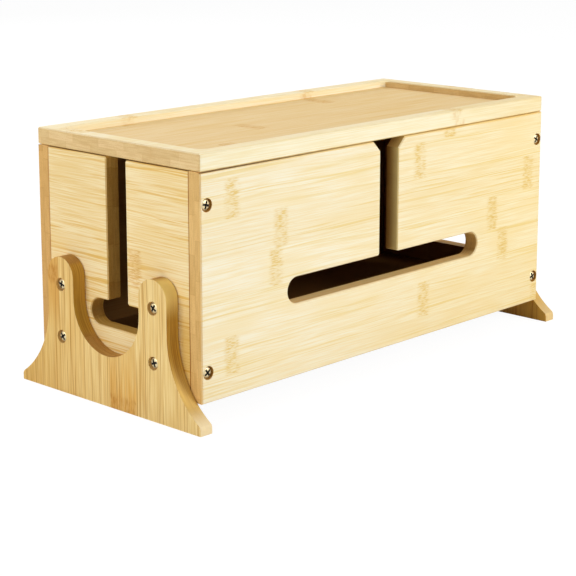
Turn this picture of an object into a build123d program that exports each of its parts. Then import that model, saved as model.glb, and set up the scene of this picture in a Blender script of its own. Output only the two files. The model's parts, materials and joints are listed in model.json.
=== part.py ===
from build123d import *

import os

# Cable management box in laminated bamboo: four panels and a bottom board, a lift-off lid with a milled
# tray, and a flared bracket foot screwed to each end.
#
# Frame: the origin is on the floor under the middle of the box. +X runs along the box, the slotted front
# looks towards -Y and +Z is up. Sizes are millimetres. Heights on a panel or an arm are measured from the
# box's underside, which is the panels' lower edge.

# ---- Boards ------------------------------------------------------------------------------------------

box_length = 400.0  # over the ends of the front and back panels
box_depth = 176.0  # over the faces of the front and back panels
panel_height = 164.5
side_thickness = 12.0  # front and back panels
end_thickness = 12.0  # end panels, which stand between the front and the back
edge_easing = 0.8  # small chamfer round every outer face
joint_easing = 0.3  # finer, round the inner faces

# ---- Cord openings: a round-ended slot with a slit up to the top edge --------------------------------

slit_width = 21.0
slot_height = 20.0
throat_radius = 2.0  # where the slit runs into the slot
front_slot_length = 226.0
front_slot_centre = 65.0
front_mouth = 8.0  # 45 degree chamfer on each side of the slit, at the top edge
end_slot_length = 61.0
end_slot_centre = 47.5
end_mouth = 1.5

# ---- Bottom board, loose in grooves round the inside -------------------------------------------------

bottom_thickness = 6.0
groove_height = 12.0  # lower side of the groove
groove_depth = 5.0
groove_play = 0.3  # between the board and each groove's end, and over the board

# ---- Lid -----------------------------------------------------------------------------------------------

lid_thickness = 13.2  # over all
lid_corner_radius = 1.5
lid_under_easing = 0.8
shadow_gap = 0.6  # shallow rebate round the underside, seen as a dark line over the panels
shadow_gap_depth = 4.0  # inwards from the lid's edges; the rest of the panel's thickness carries the lid
tray_rim = 13.5
tray_depth = 5.5
tray_corner_radius = 7.0

# ---- Blocks glued under the lid, one inside each corner of the box -----------------------------------

block_length = 40.0
block_width = 14.0
block_height = 8.0
block_play = 1.0  # between a block and the two panels beside it
block_lead = 1.5  # chamfer that guides the lid on

# ---- Feet: a board with two arms, an open cradle between them and a toe each way ---------------------

foot_thickness = 12.0
foot_drop = 18.0  # the box's underside over the floor
arm_height = 86.0
arm_width = 29.0
arm_inset = 23.0  # from the box's faces to the outer side of the arms
cradle_height = 20.0  # lowest point of the cradle
flare_height = 48.0  # where an arm starts to flare into its toe
toe_reach = 10.5  # beyond the box's faces
toe_height = 4.2  # upright front of the toe, from the floor
toe_radius = 4.0
foot_easing = 1.0

# ---- Cross-head wood screws with pan heads, sunk in counterbores -------------------------------------

screw_diameter = 4.0
screw_head_diameter = 8.4
screw_head_height = 2.6
panel_screw_length = 30.0  # under the head
foot_screw_length = 18.0
counterbore_diameter = 10.0
counterbore_depth = 3.4
clearance_diameter = 4.4
recess_span = 5.2  # cross recess, tip to tip
recess_width = 1.1
recess_depth = 1.8
recess_turn = 37.0  # degrees that each screw stops further round than the one before
panel_screw_rise = 22.0  # lower screws of the front and back
panel_screw_drop = 23.0  # upper screws, from the panel's top edge
foot_screw_rises = (25.0, 65.0)

# ---- Places that follow from the sizes ---------------------------------------------------------------

inner_length = box_length - 2 * end_thickness
inner_depth = box_depth - 2 * side_thickness
underside = foot_drop
panel_top = underside + panel_height
lid_top = panel_top + lid_thickness
bottom_underside = underside + groove_height
arm_outer = box_depth / 2 - arm_inset
arm_inner = arm_outer - arm_width
arm_middle = (arm_outer + arm_inner) / 2
toe_end = box_depth / 2 + toe_reach
foot_outside = box_length / 2 + foot_thickness
BOTH_WAYS = (-1, 1)


def block(length, depth, low, high):
    """A block centred over the origin, between two heights."""
    return Pos(0, 0, (low + high) / 2) * Box(length, depth, high - low)


# ---- Screws --------------------------------------------------------------------------------------------


def rod(diameter, low, high):
    """A round bar about the Z axis, between two heights."""
    return Pos(0, 0, low) * Cylinder(diameter / 2, high - low, align=(Align.CENTER, Align.CENTER, Align.MIN))


def wood_screw(length, turn):
    """A screw that points down -Z, with its head standing on z = 0."""
    body = rod(screw_diameter, -length, 0) + rod(screw_head_diameter, 0, screw_head_height)
    slot = block(recess_span, recess_width, screw_head_height - recess_depth, screw_head_height)
    return body - Rot(0, 0, turn) * slot - Rot(0, 0, turn + 90) * slot


def through_hole(thickness):
    """What a head and shank need in the board they pass: counterbore and clearance hole."""
    return rod(counterbore_diameter, 0, counterbore_depth) + rod(clearance_diameter, -thickness, 0)


def pilot_hole(length):
    """What the shank needs in the board it bites into."""
    return rod(screw_diameter, -length, 0)


def drilled(board, places, cutter):
    """The board with the same hole cut at each screw's place."""
    for place in places:
        board -= place * cutter
    return board


def screw_places(along, heights, face, outward):
    """A plane on the floor of each counterbore, its Z pointing out of the wood.

    along and heights place the screws on the face, which lies face away from the middle of the box.
    """
    sunk = face - counterbore_depth
    up = Vector(0, 0, 1)
    sideways = up.cross(outward)
    centres = [sideways * s + up * z + outward * sunk for s in along for z in heights]
    return [Plane(origin=centre, x_dir=up, z_dir=outward) for centre in centres]


panel_screw_x = [side * (box_length - end_thickness) / 2 for side in BOTH_WAYS]
panel_screw_z = [underside + panel_screw_rise, panel_top - panel_screw_drop]
foot_screw_y = [side * arm_middle for side in BOTH_WAYS]
foot_screw_z = [underside + rise for rise in foot_screw_rises]
front_screws = screw_places(panel_screw_x, panel_screw_z, box_depth / 2, Vector(0, -1, 0))
back_screws = screw_places(panel_screw_x, panel_screw_z, box_depth / 2, Vector(0, 1, 0))
left_foot_screws = screw_places(foot_screw_y, foot_screw_z, foot_outside, Vector(-1, 0, 0))
right_foot_screws = screw_places(foot_screw_y, foot_screw_z, foot_outside, Vector(1, 0, 0))


# ---- Panels --------------------------------------------------------------------------------------------


def board_outline(length):
    """The plain rectangle of a panel, with its lower edge at y = 0."""
    return Pos(0, panel_height / 2) * Rectangle(length, panel_height)


def cord_opening(slot_length, slot_centre, mouth):
    """The inverted T, in the same sketch: slot, slit up to the top edge, chamfered mouth."""
    half = slit_width / 2
    slot_top = slot_centre + slot_height / 2
    slot = Pos(0, slot_centre) * SlotOverall(slot_length, slot_height)
    slit = Pos(0, (slot_centre + panel_height) / 2) * Rectangle(slit_width, panel_height - slot_centre)
    opening = slot + slit
    throats = opening.vertices().filter_by(lambda v: abs(v.Y - slot_top) < 0.01 and abs(v.X) < half + 0.01)
    opening = fillet(throats, throat_radius)
    low = panel_height - mouth
    flare = Polygon(
        (-half, low), (half, low), (half + mouth, panel_height), (-half - mouth, panel_height), align=None
    )
    return opening + flare


def panel(outline, inner_plane, thickness, butted_at=None):
    """A board raised outwards from its inner face, its edges eased.

    Its upright edges at butted_at from the middle stay square, where they butt against a neighbour.
    """
    board = extrude(inner_plane * outline, thickness)
    through = Axis(inner_plane.origin, inner_plane.z_dir)
    for side, easing in ((-1, edge_easing), (0, joint_easing)):
        edges = board.faces().sort_by(through)[side].edges()
        if butted_at:
            edges = [e for e in edges if abs(inner_plane.to_local_coords(e.center()).X) < butted_at - easing]
        board = chamfer(edges, easing)
    return board


bottom_groove = block(
    inner_length + 2 * groove_depth,
    inner_depth + 2 * groove_depth,
    bottom_underside,
    bottom_underside + bottom_thickness + groove_play,
)


def make_front_panel():
    """Slotted front, grooved for the bottom board."""
    plane = Plane(origin=(0, -inner_depth / 2, underside), x_dir=(1, 0, 0), z_dir=(0, -1, 0))
    outline = board_outline(box_length) - cord_opening(front_slot_length, front_slot_centre, front_mouth)
    board = panel(outline, plane, side_thickness) - bottom_groove
    return drilled(board, front_screws, through_hole(side_thickness))


def make_back_panel():
    """The same board with no opening."""
    plane = Plane(origin=(0, inner_depth / 2, underside), x_dir=(-1, 0, 0), z_dir=(0, 1, 0))
    board = panel(board_outline(box_length), plane, side_thickness) - bottom_groove
    return drilled(board, back_screws, through_hole(side_thickness))


def make_end_panel(side, foot_screws):
    """Slotted end, between front and back. The screws of both and of the foot bite into it."""
    plane = Plane(origin=(side * inner_length / 2, 0, underside), x_dir=(0, side, 0), z_dir=(side, 0, 0))
    outline = board_outline(inner_depth) - cord_opening(end_slot_length, end_slot_centre, end_mouth)
    board = panel(outline, plane, end_thickness, butted_at=inner_depth / 2) - bottom_groove
    board = drilled(board, front_screws + back_screws, pilot_hole(panel_screw_length))
    return drilled(board, foot_screws, pilot_hole(foot_screw_length))


def make_bottom_panel():
    """Thin board that lies on the lower sides of the grooves."""
    reach = 2 * (groove_depth - groove_play)
    top = bottom_underside + bottom_thickness
    return block(inner_length + reach, inner_depth + reach, bottom_underside, top)


# ---- Lid -----------------------------------------------------------------------------------------------


def make_lid():
    """Board with a shallow tray milled into its top. A rebate under its edges leaves a seat on the panels."""
    outline = RectangleRounded(box_length, box_depth, lid_corner_radius)
    board = extrude(Pos(0, 0, panel_top + shadow_gap) * outline, lid_thickness - shadow_gap)
    tray_length = box_length - 2 * tray_rim
    tray_width = box_depth - 2 * tray_rim
    tray = RectangleRounded(tray_length, tray_width, tray_corner_radius)
    board -= extrude(Pos(0, 0, lid_top - tray_depth) * tray, tray_depth)
    board = chamfer(board.faces().sort_by(Axis.Z)[-1].edges(), edge_easing)
    board = chamfer(board.faces().sort_by(Axis.Z)[0].edges(), lid_under_easing)
    return board + block(
        box_length - 2 * shadow_gap_depth, box_depth - 2 * shadow_gap_depth, panel_top, panel_top + shadow_gap
    )


def make_lid_block(side_x, side_y):
    """Block that drops just inside two panels, its lower edges chamfered."""
    body = block(block_length, block_width, panel_top - block_height, panel_top)
    body = chamfer(body.faces().sort_by(Axis.Z)[0].edges(), block_lead)
    along = inner_length / 2 - block_play - block_length / 2
    across = inner_depth / 2 - block_play - block_width / 2
    return Pos(side_x * along, side_y * across, 0) * body


# ---- Feet ----------------------------------------------------------------------------------------------


def foot_outline():
    """The whole profile across the box, with the floor at y = 0."""
    arm_round = underside + arm_height - arm_width / 2
    cradle_middle = underside + cradle_height + arm_inner
    flare_top = underside + flare_height
    # The flank is the arc that leaves the arm upright and runs tangent into the round of the toe.
    run = toe_end - toe_radius - arm_outer
    rise = flare_top - toe_height
    flank_radius = (run**2 + rise**2 - toe_radius**2) / (2 * (run + toe_radius))
    flank_centre = Vector(arm_outer + flank_radius, flare_top)
    toe_centre = Vector(toe_end - toe_radius, toe_height)
    meeting = toe_centre + (flank_centre - toe_centre).normalized() * toe_radius

    cradle = TangentArc((0, underside + cradle_height), (arm_inner, cradle_middle), tangent=(1, 0))
    inner_side = Line((arm_inner, cradle_middle), (arm_inner, arm_round))
    arm_end = TangentArc((arm_inner, arm_round), (arm_outer, arm_round), tangent=(0, 1))
    outer_side = Line((arm_outer, arm_round), (arm_outer, flare_top))
    flank = TangentArc((arm_outer, flare_top), meeting, tangent=(0, -1))
    toe = TangentArc(meeting, (toe_end, toe_height), tangent=flank % 1)
    sole = Polyline((toe_end, toe_height), (toe_end, 0), (0, 0))
    half = cradle + inner_side + arm_end + outer_side + flank + toe + sole
    return make_face(half + mirror(half, about=Plane.YZ))


def make_foot(side, foot_screws):
    """Bracket foot against an end panel, eased all round."""
    plane = Plane(origin=(side * box_length / 2, 0, 0), x_dir=(0, side, 0), z_dir=(side, 0, 0))
    board = extrude(plane * foot_outline(), foot_thickness)
    for face in (board.faces().sort_by(Axis.X)[0], board.faces().sort_by(Axis.X)[-1]):
        board = chamfer(face.edges(), foot_easing)
    return drilled(board, foot_screws, through_hole(foot_thickness))


# ---- All pieces ----------------------------------------------------------------------------------------

pieces = {
    "front_panel": make_front_panel(),
    "back_panel": make_back_panel(),
    "left_end_panel": make_end_panel(-1, left_foot_screws),
    "right_end_panel": make_end_panel(1, right_foot_screws),
    "bottom_panel": make_bottom_panel(),
    "lid": make_lid(),
    "left_foot": make_foot(-1, left_foot_screws),
    "right_foot": make_foot(1, right_foot_screws),
}

corners = [(side_x, side_y) for side_x in BOTH_WAYS for side_y in BOTH_WAYS]
for number, corner in enumerate(corners, start=1):
    pieces[f"lid_block_{number}"] = make_lid_block(*corner)

screw_groups = (
    ("front_screw", front_screws, panel_screw_length),
    ("back_screw", back_screws, panel_screw_length),
    ("left_foot_screw", left_foot_screws, foot_screw_length),
    ("right_foot_screw", right_foot_screws, foot_screw_length),
)
for group, places, length in screw_groups:
    for number, place in enumerate(places, start=1):
        pieces[f"{group}_{number}"] = place * wood_screw(length, number * recess_turn)

os.makedirs("parts", exist_ok=True)
for name, piece in pieces.items():
    export_step(piece, f"parts/{name}.step")
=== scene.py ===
# %% [markdown]
# # A bamboo cable management box
#
# The real box is made of laminated bamboo boards: split cane, planed into flat strips about 28 mm wide and
# glued edge to edge. Four panels and two bracket feet are held together by cross-head wood screws. A bottom
# board lies in grooves between the panels, and a lid with a milled tray lies loose on top. The shapes of the
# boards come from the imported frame. This script gives them their bamboo, and models the screws as a screw
# maker would, with a domed head, a tapered recess and a thread.

# %% Load the frame
import json
import math
from dataclasses import dataclass, replace

import bpy
from mathutils import Matrix, Vector


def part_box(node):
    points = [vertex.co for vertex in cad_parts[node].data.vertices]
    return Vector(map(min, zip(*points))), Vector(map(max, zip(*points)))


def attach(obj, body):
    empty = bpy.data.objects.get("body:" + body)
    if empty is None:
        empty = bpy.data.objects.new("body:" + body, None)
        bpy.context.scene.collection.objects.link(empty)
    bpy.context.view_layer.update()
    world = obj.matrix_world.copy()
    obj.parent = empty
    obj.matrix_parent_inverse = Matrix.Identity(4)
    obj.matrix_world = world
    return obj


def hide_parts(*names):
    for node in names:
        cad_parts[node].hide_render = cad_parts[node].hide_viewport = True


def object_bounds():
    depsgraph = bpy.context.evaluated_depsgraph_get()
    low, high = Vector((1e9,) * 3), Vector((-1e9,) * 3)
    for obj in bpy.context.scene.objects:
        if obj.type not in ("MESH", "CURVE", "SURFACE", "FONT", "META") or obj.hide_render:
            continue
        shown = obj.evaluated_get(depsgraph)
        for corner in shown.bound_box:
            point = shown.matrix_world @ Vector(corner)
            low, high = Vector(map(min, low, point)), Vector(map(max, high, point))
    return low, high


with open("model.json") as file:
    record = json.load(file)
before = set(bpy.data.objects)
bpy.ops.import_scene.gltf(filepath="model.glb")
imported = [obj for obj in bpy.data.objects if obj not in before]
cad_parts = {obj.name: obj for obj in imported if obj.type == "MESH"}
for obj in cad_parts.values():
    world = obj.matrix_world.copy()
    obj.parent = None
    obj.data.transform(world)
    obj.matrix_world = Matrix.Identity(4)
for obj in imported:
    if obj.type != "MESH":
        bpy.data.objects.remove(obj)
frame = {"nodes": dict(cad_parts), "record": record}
cad_low, cad_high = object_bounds()
print("boards and screws in the frame:", len(frame["nodes"]), "size", cad_high - cad_low)

# %% [markdown]
# Every operator works on what is selected, and a freshly loaded frame is selected all over. So everything is
# deselected before anything is made. Sizes below are written in millimetres, because that is how a joiner
# thinks, and multiplied by MM where Blender wants metres.

# %% Deselect everything
MM = 0.001

print("selected by the loading:", len(bpy.context.selected_objects))
bpy.ops.object.select_all(action="DESELECT")

# %% [markdown]
# ## Camera
#
# The box is looked at from its left front corner, a little from above, through a long lens that keeps the
# upright edges almost parallel. A camera can be aimed with a constraint or by its angles. Angles are used
# here, together with a small shift of the lens downwards, which straightens the uprights a bit more, as on
# an architect's camera.

# %% Stand the camera
CAMERA_PLACE = Vector((-975.5, -904, 388.8)) * MM
CAMERA_TURN = 46.58  # degrees to the right of straight ahead, which is +Y
CAMERA_DIP = 11.36  # degrees below the horizon
LENS = 105.2
FILM_WIDTH = 36
LENS_SHIFT = -0.15  # share of the picture's width

bpy.ops.object.camera_add(
    location=CAMERA_PLACE, rotation=(math.radians(90 - CAMERA_DIP), 0, math.radians(-CAMERA_TURN))
)
camera = bpy.context.object
camera.name = "studio_camera"
camera.data.lens = LENS
camera.data.sensor_width = FILM_WIDTH
camera.data.shift_y = LENS_SHIFT
bpy.context.scene.camera = camera
print("camera distance to the middle of the box:", (CAMERA_PLACE - (cad_low + cad_high) / 2).length)

# %% [markdown]
# ## Shader sums
#
# Most of this script is about the pattern of bamboo, and a pattern is a long sum. Written as node links it
# can't be read, so an output socket is wrapped in a small class. Adding or multiplying two of them makes the
# Math node that does it, and `1 - mask` works too, through the reflected forms.


# %% A socket that does sums
class Value:
    """One output of a shader node. Arithmetic on it adds Math nodes."""

    def __init__(self, wiring, socket):
        self.wiring, self.socket = wiring, socket

    def maths(self, operation, *others, first=None):
        """A Math node on this value and the others, or on another first term and the others."""
        terms = [self if first is None else first, *others]
        return self.wiring.node("Math", {"operation": operation}, dict(enumerate(terms)))

    def __add__(self, other):
        return self.maths("ADD", other)

    def __mul__(self, other):
        return self.maths("MULTIPLY", other)

    def __sub__(self, other):
        return self.maths("SUBTRACT", other)

    def __rsub__(self, other):
        return self.maths("SUBTRACT", self, first=other)

    def __truediv__(self, other):
        return self.maths("DIVIDE", other)

    __radd__, __rmul__ = __add__, __mul__

    def other(self, name):
        """Another output of the same node."""
        return Value(self.wiring, self.socket.node.outputs[name])


def between(least, most, share):
    """From least to most as share, which is a number or a value, goes from 0 to 1."""
    return share * (most - least) + least


print("half-way between 0.2 and 0.4 lies", between(0.2, 0.4, 0.5), "for a number as for a value")

# %% [markdown]
# Shaders reckon in linear light, while a colour is easiest to judge as it looks on a screen. A colour could
# be typed in either way. Here every tone is written as on a screen, 0 to 255, and turned by one small
# function. A stain, which multiplies the colour under it, is written as the share of red, green and blue
# light that it lets through.

# %% Colours as they look on screen
WHITE = (1, 1, 1, 1)


def on_screen(red, green, blue):
    """A colour given as it looks on screen, 0 to 255, in the linear values that shaders use."""
    shares = [level / 255 for level in (red, green, blue)]
    return [s / 12.92 if s <= 0.04045 else ((s + 0.055) / 1.055) ** 2.4 for s in shares] + [1.0]


print("half grey on screen is", round(on_screen(128, 128, 128)[0], 3), "in linear light")

# %% [markdown]
# A material, and the world too, is a tree of nodes. One method adds any node to it: its settings come first,
# because they decide which sockets the node has, and then each socket gets a number, a colour or a link.
# Only sockets that the settings left switched on are looked up, so "A" of a Mix node is the right one of its
# four.


# %% A node tree that is easy to write
class Wiring:
    """The node tree of a material or a world."""

    def __init__(self, tree):
        self.tree = tree

    def find_input(self, node, key):
        """An input by its number, or by its name among those that are switched on."""
        if isinstance(key, int):
            return node.inputs[key]
        return next(socket for socket in node.inputs if socket.name == key and socket.enabled)

    def plug(self, node, sockets):
        """Gives each named input its number, colour or link."""
        for key, value in sockets.items():
            socket = self.find_input(node, key)
            if isinstance(value, Value):
                self.tree.links.new(value.socket, socket)
            else:
                socket.default_value = value

    def node(self, kind, settings=None, sockets=None):
        """A new node with its settings and sockets, as its first output that is switched on."""
        node = self.tree.nodes.new("ShaderNode" + kind)
        for name, value in (settings or {}).items():
            if name == "stops":
                self.set_stops(node.color_ramp, value)
            else:
                setattr(node, name, value)
        self.plug(node, sockets or {})
        return Value(self, next(socket for socket in node.outputs if socket.enabled))

    def set_stops(self, ramp, stops):
        """Makes a ramp jump from stop to stop. It comes with two stops, so the others are added."""
        ramp.interpolation = "CONSTANT"
        while len(ramp.elements) < len(stops):
            ramp.elements.new(1.0)
        for element, (place, colour) in zip(ramp.elements, stops):
            element.position, element.color = place, colour


print("kinds of shader node to choose from:", sum(kind.startswith("ShaderNode") for kind in dir(bpy.types)))

# %% [markdown]
# A finish is laid on in masks, as a painter tapes off a wall. A mask is 0 where the colour stays, 1 where
# another takes over, and in between along its border. Two colours meet in a Mix node, which can blend them
# or, for a stain, multiply them. A ColorRamp could shape a mask too, but a Map Range node says in plain
# numbers where it starts and ends.

# %% Masks, blends and chance
SLACK = 0.1  # mm that a mask goes past the face it is for, so that all of that face is in it


class Finish(Wiring):
    """A material with its Principled shader."""

    def __init__(self, name):
        self.material = bpy.data.materials.new(name)
        self.material.use_nodes = True
        super().__init__(self.material.node_tree)
        self.shader = self.tree.nodes["Principled BSDF"]

    def step(self, value, low, high):
        """0 below low, 1 above high and a smooth rise between. With low above high it falls instead."""
        settings = {"interpolation_type": "SMOOTHSTEP"}
        return self.node("MapRange", settings, {"Value": value, "From Min": low, "From Max": high})

    def past(self, place, limit, border=0.3):
        """1 past a limit, with a soft border before it, in mm."""
        return self.step(place, limit - border, limit)

    def short_of(self, place, limit, border=0.3):
        """1 short of a limit, with a soft border after it, in mm."""
        return self.step(place, limit + border, limit)

    def blend(self, share, first, second):
        """A colour that goes from first to second as share goes from 0 to 1."""
        return self.node("Mix", {"data_type": "RGBA"}, {"Factor": share, "A": first, "B": second})

    def tint(self, share, colour, stain):
        """A colour darkened by a stain, as far as share says."""
        settings = {"data_type": "RGBA", "blend_type": "MULTIPLY"}
        return self.node("Mix", settings, {"Factor": share, "A": colour, "B": stain})

    def chance(self, number, seed):
        """Three random numbers for a whole number, as the three channels of a colour."""
        dice = self.node("TexWhiteNoise", {"noise_dimensions": "1D"}, {"W": number + seed})
        return self.node("SeparateColor", {}, {"Color": dice.other("Color")})


print("materials before the first finish:", len(bpy.data.materials))

# %% [markdown]
# ## Bamboo
#
# Three things make a board read as bamboo and not as wood. It is put together from **strips** of one width,
# each a shade lighter or darker than its neighbour. In a strip run straight **fibres**, fine and pale, with
# golden lines that wander a little. And each strip shows a **knuckle** every 200 to 300 mm, where a branch
# once grew: a narrow golden band of short broken dashes right across it. Sawn across, the same strips show
# as tan blocks in layers, laid like bricks, and along an edge the layers show as lines.
#
# The pattern could be painted on by hand, with a picture for each face. Here it is worked out in the solid
# board, from the place of a point, so it runs round every edge and into every slot as in real bamboo. All
# its marks are grains of a stretched noise, each with a size and a strength of its own.

# %% Places in a board
STRIP = 28.3  # width of a strip, mm
PLY = 6.0  # thickness of a layer of strips, mm
KNUCKLE_PITCH = 262.0  # mm from one knuckle of a strip to the next
SAWN = (0.6, 0.8)  # how squarely a face looks along the cane where it starts to count as sawn, and does
BROAD = (0.55, 0.8)  # the same through the board, for the broad faces


@dataclass
class Grain:
    """A noise: the size of its grains in mm, and where in its 0 to 1 it starts to show, and does in full."""

    along: float
    across: float
    through: float = 0.0  # none where a depth is given with the grain
    shown: tuple = (0.0, 1.0)
    strength: float = 1.0
    detail: float = 1.0


class Board(Finish):
    """A finish that knows which way the cane runs: along it, across the strips and through the thickness."""

    def __init__(self, name, node, seed, along, across, through):
        super().__init__(name)
        self.seed = seed
        low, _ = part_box(node)
        where = self.node("TexCoord")
        place = self.node("VectorMath", {"operation": "SCALE"}, {0: where.other("Object"), "Scale": 1 / MM})
        split = self.node("SeparateXYZ", {}, {0: place})
        facing = self.node("SeparateXYZ", {}, {0: where.other("Normal")})
        self.x, self.y, self.z = (split.other(axis) for axis in "XYZ")
        self.along, self.across = split.other(along), split.other(across)
        self.through = split.other(through) - getattr(low, through.lower()) / MM
        self.end_grain = self.step(facing.other(along).maths("ABSOLUTE"), *SAWN)
        self.broad_face = self.step(facing.other(through).maths("ABSOLUTE"), *BROAD)

    def noise(self, grain, depth=None, across=None):
        """The noise of a grain, 0 to 1. Depth and place across the cane are the board's, unless given."""
        across = (self.across if across is None else across) / grain.across
        depth = self.through / grain.through if depth is None else depth
        place = self.node("CombineXYZ", {}, {"X": self.along / grain.along, "Y": across, "Z": depth})
        return self.node("TexNoise", {}, {"Vector": place, "Scale": 1.0, "Detail": grain.detail})

    def marks(self, grain, depth=None, across=None):
        """A mask of where a grain shows."""
        return self.step(self.noise(grain, depth, across), *grain.shown)


print("strips", STRIP, "mm wide, layers", PLY, "mm thick, a knuckle every", KNUCKLE_PITCH, "mm")

# %% [markdown]
# The strips of a board are found from the distance across it. Where the knuckles of one board matter, they
# are given in a table with one row for each strip. Elsewhere chance places them, the same way each time.
# Both give the distance along the strip to the nearest knuckle, the strip's own shade, the share of the
# strip's width at which a point lies, and the strip's number.

# %% Strips and knuckles
STAGGER = 0.8  # of a strip's width, how far a layer can be shifted against the next
STRIPS_PER_PLY = 17  # more than any board has, so that each strip of each layer gets a number of its own
SECOND_THROW = 40  # on top of a board's seed, for random numbers other than its first
PLY_OFFSET = 4  # mm between the knuckles of one layer and those of the next
TABLE_MARGIN = 1  # mm that a table starts below its board, so that no point falls off it
REACH = 500.0  # mm, more than half of any board, so that a place fits in a colour channel


def strips_by_chance(board, first_edge):
    """Strips with knuckles where chance puts them. The layers of a board are staggered, like bricks."""
    ply = (board.through / PLY).maths("FLOOR")
    stagger = board.chance(ply, board.seed)
    steps = (board.across - first_edge) / STRIP + stagger * STAGGER
    number = steps.maths("FLOOR") + ply * STRIPS_PER_PLY
    dice = board.chance(number, board.seed + SECOND_THROW)
    distance = (board.along / KNUCKLE_PITCH + dice).maths("PINGPONG", 0.5) * KNUCKLE_PITCH
    return distance, dice.other("Green"), steps.maths("FRACT"), number


def strips_by_table(board, rows, low, high):
    """Strips from a table, for a board from low to high. A row is a start, two knuckles and a shade."""
    low = low - TABLE_MARGIN
    stops = []
    for start, first, second, shade in rows:
        places = [(place + REACH) / (2 * REACH) for place in (first, second)]
        stops.append(((start - low) / (high - low), (*places, shade, 1.0)))
    row = board.node("ValToRGB", {"stops": stops}, {"Fac": (board.across - low) / (high - low)})
    split = board.node("SeparateColor", {}, {"Color": row})
    lower_ply = (board.through / PLY).maths("FLOOR").maths("PINGPONG", 1.0)
    along = board.along + lower_ply * PLY_OFFSET
    distances = []
    for channel in ("Red", "Green"):
        place = split.other(channel) * (2 * REACH) - REACH
        distances.append((along - place).maths("ABSOLUTE"))
    steps = (board.across - rows[1][0]) / STRIP
    nearest = distances[0].maths("MINIMUM", distances[1])
    return nearest, split.other("Blue"), steps.maths("FRACT"), steps.maths("FLOOR")


print("layers are shifted by up to", STAGGER * STRIP, "mm against each other")

# %% [markdown]
# The colours are laid on from pale to dark. The fibres come from one noise stretched a long way along the
# cane, on a coordinate that wanders a little as real fibres do. A coarser one gives the golden lines, which
# come in groups. At a knuckle there is a soft haze, and in it the dashes, which are a short-grained noise
# that passes a threshold, bolder in some patches than in others. Each strip reads its noises at a depth of
# its own, so no line crosses a seam.

# %% The long faces
FIBRE = Grain(34, 0.62, shown=(0.36, 0.66), strength=0.9, detail=2.0)
GOLDEN_LINE = Grain(120, 1.35, shown=(0.49, 0.62), strength=0.75, detail=2.0)
LINE_GROUP = Grain(190, 9, shown=(0.38, 0.62))
LEAST_IN_GROUP = 0.25  # strength of a golden line between the groups
CLOUD = Grain(60, 20, shown=(0.45, 0.75), strength=0.6)
WANDER = Grain(110, 22)
WANDER_WIDTH = 4  # mm that a fibre goes to and fro
THROUGH_GRAIN = 8  # mm into the board after which its pattern is another one
STRIP_JUMP = 5.3  # how far from each other two strips read the noises
SEAM = (0.486, 0.498)  # of a strip's width from its middle, where the seam starts, and shows in full
SEAM_STRENGTH = 0.25
KNUCKLE_BAND = (9.0, 4.0)  # mm from the middle of a knuckle where it starts to show, and does in full
RAGGED_EDGE = Grain(14, 0.9)
RAGGED_WIDTH = 9  # mm that the edge of a knuckle goes in and out
KNUCKLE_PATCH = Grain(9, 6, shown=(0.3, 0.65))
KNUCKLE_DASH = Grain(5.2, 0.5, shown=(0.45, 0.57))
HAZE = (0.14, 0.32)  # strength beside the bold patches, and in them
DASHES = (0.36, 0.68)  # the same
BLEACHING = 0.25
FIBRE_RELIEF, KNUCKLE_RELIEF = 0.5, 0.4  # how far they stand proud, as shares of the full relief


def off_middle(share):
    """How far a point lies from the middle of its strip or layer, as a share of the width, 0 to 0.5."""
    return (share - 0.5).maths("ABSOLUTE")


def knuckle_marks(board, distance, depth):
    """Two masks of a knuckle: its golden dashes in their haze, and the bleached cane between the dashes."""
    ragged = (board.noise(RAGGED_EDGE, depth) - 0.5) * RAGGED_WIDTH
    band = board.step(distance + ragged, *KNUCKLE_BAND)
    patches = board.marks(KNUCKLE_PATCH, depth)
    dashes = board.marks(KNUCKLE_DASH, depth)
    golden = between(*HAZE, patches) + dashes * between(*DASHES, patches)
    return band * golden, band * (1 - dashes) * BLEACHING


def cane_colour(board, strips, tones, line):
    """The broad faces: colour, how far each point stands proud or sinks, and the mask of the knuckles."""
    distance, shade, within, number = strips
    depth = board.through / THROUGH_GRAIN + number * STRIP_JUMP + board.seed
    flow = board.across + (board.noise(WANDER, depth) - 0.5) * WANDER_WIDTH
    fibres = board.noise(FIBRE, depth, flow)
    colour = board.blend(board.step(fibres, *FIBRE.shown) * FIBRE.strength, tones["pale"], tones["honey"])
    colour = board.blend(board.marks(CLOUD, depth) * CLOUD.strength, colour, tones["honey"])
    grouped = between(LEAST_IN_GROUP, 1.0, board.marks(LINE_GROUP, depth, flow))
    golden = board.marks(line, depth, flow) * grouped * line.strength
    colour = board.blend(golden, colour, tones["amber"])
    colour = board.tint(1.0, colour, board.blend(shade, tones["shaded"], WHITE))
    marks, bleached = knuckle_marks(board, distance, depth)
    colour = board.blend(bleached, colour, tones["pale"])
    colour = board.blend(marks, colour, tones["knuckle"])
    seam = board.step(off_middle(within), *SEAM)
    colour = board.blend(seam * SEAM_STRENGTH, colour, tones["amber"])
    return colour, fibres * FIBRE_RELIEF + marks * KNUCKLE_RELIEF, marks


print("fibres", FIBRE.across, "mm wide, golden lines", GOLDEN_LINE.across, "mm wide")

# %% [markdown]
# A board has two more kinds of surface. Its narrow edges, and the walls of the openings, cut along the
# layers: they show fine lines that run beside the faces. Its ends are sawn across the cane and show every
# strip as a block of its own, speckled with pores and banded, because cane is denser towards its skin. Both
# soak up more lacquer than the faces do and are darker for it. They could have materials of their own, face
# by face. Here one finish tells them apart by the way a face looks, so that the cut mesh needs no sorting.

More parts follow.
